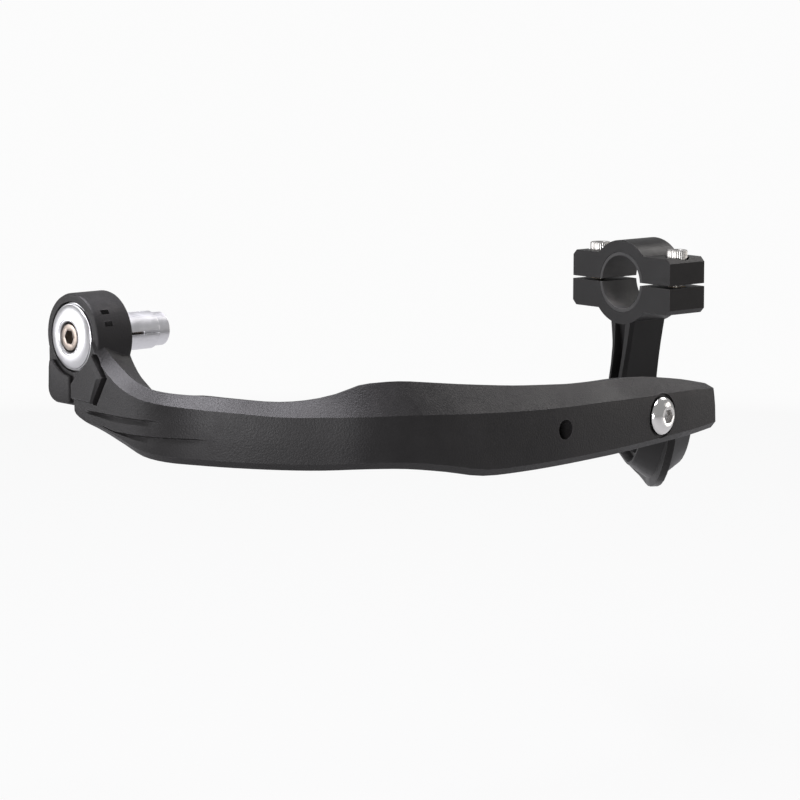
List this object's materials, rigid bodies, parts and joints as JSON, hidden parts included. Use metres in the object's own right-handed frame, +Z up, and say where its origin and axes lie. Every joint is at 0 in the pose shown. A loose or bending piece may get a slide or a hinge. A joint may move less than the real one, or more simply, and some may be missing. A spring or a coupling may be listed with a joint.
{
  "type": "motorcycle hand guard",
  "caption": "Wrap-round motorcycle hand guard: moulded blade with split bar-end collar and turned end disc, on a ribbed arm with a handlebar clamp.",
  "frame": {"origin": "centre of the handlebar's end plane, on the bar's axis", "axes": "+X inboard along the bar end, +Y backward towards the rider, +Z up"},
  "size_m": [0.3005, 0.1334, 0.0969],
  "materials": {
    "blade_plastic": "fine-grained satin moulding",
    "arm_plastic": "semi-gloss moulding",
    "turned_aluminium": "turned bright",
    "plug_aluminium": "turned satin",
    "bright_steel": "polished stainless",
    "plated_steel": "zinc plated",
    "brass": "turned",
    "rubber": "matt"
  },
  "bodies": {
    "root": {"guard_blade": "blade_plastic", "end_disc": "turned_aluminium", "disc_bolt": "plated_steel", "expander_sleeve": "plug_aluminium", "cone_nut": "plug_aluminium", "pinch_bolt": "plated_steel", "pinch_washer": "plated_steel", "pinch_nut": "plated_steel", "blade_bolt": "bright_steel", "blade_bush": "plated_steel", "blade_insert": "brass", "mounting_arm": "arm_plastic", "clamp_cap": "arm_plastic", "clamp_bolt_front": "plated_steel", "clamp_bolt_rear": "plated_steel", "clamp_washer_front": "plated_steel", "clamp_washer_rear": "plated_steel", "clamp_insert_front": "brass", "clamp_insert_rear": "brass", "clamp_liner_lower": "rubber", "clamp_liner_upper": "rubber"}
  },
  "joints": []
}
